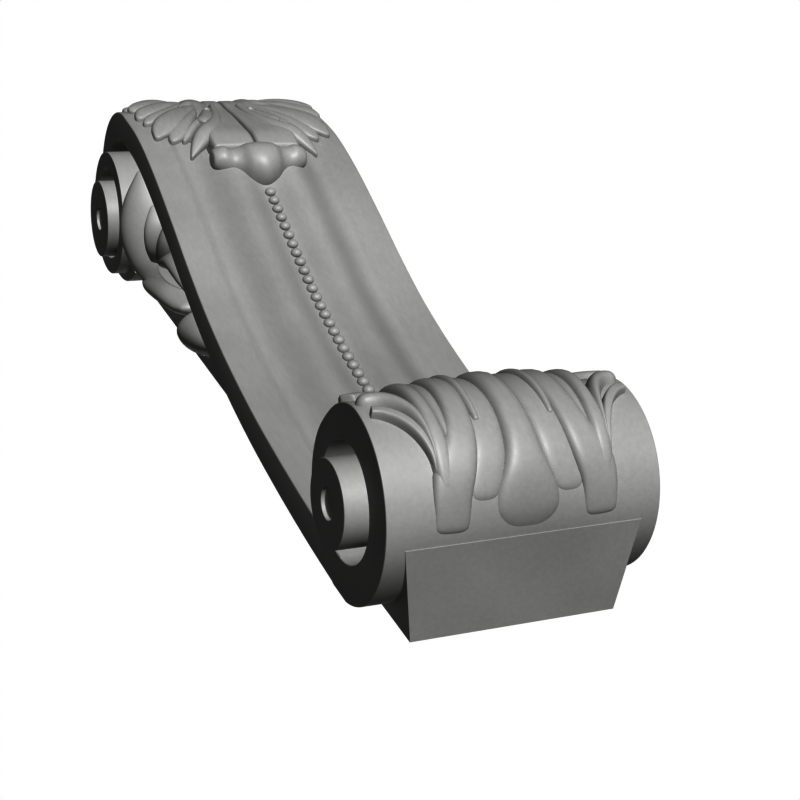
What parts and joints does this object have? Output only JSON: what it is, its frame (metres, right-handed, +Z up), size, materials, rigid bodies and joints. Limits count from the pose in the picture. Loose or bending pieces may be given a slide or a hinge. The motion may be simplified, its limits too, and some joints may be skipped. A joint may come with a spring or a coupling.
{
  "type": "carved scroll bracket",
  "caption": "Scroll corbel: an S-shaped fluted band between a small roll and a large volute, with beading, a palmette and acanthus leaves, flat at the back.",
  "frame": {"origin": "centre of the flat back, at mid height and mid width, on the wall's surface", "axes": "+X across the bracket, +Y into the wall, +Z up: the front looks toward -Y, the small roll is at the bottom and the large volute at the top"},
  "size_m": [0.135, 0.1023, 0.4216],
  "materials": {
    "primed_carving": "matt grey primer over carved hardwood"
  },
  "bodies": {
    "root": {"scroll_bracket": "primed_carving"}
  },
  "joints": []
}
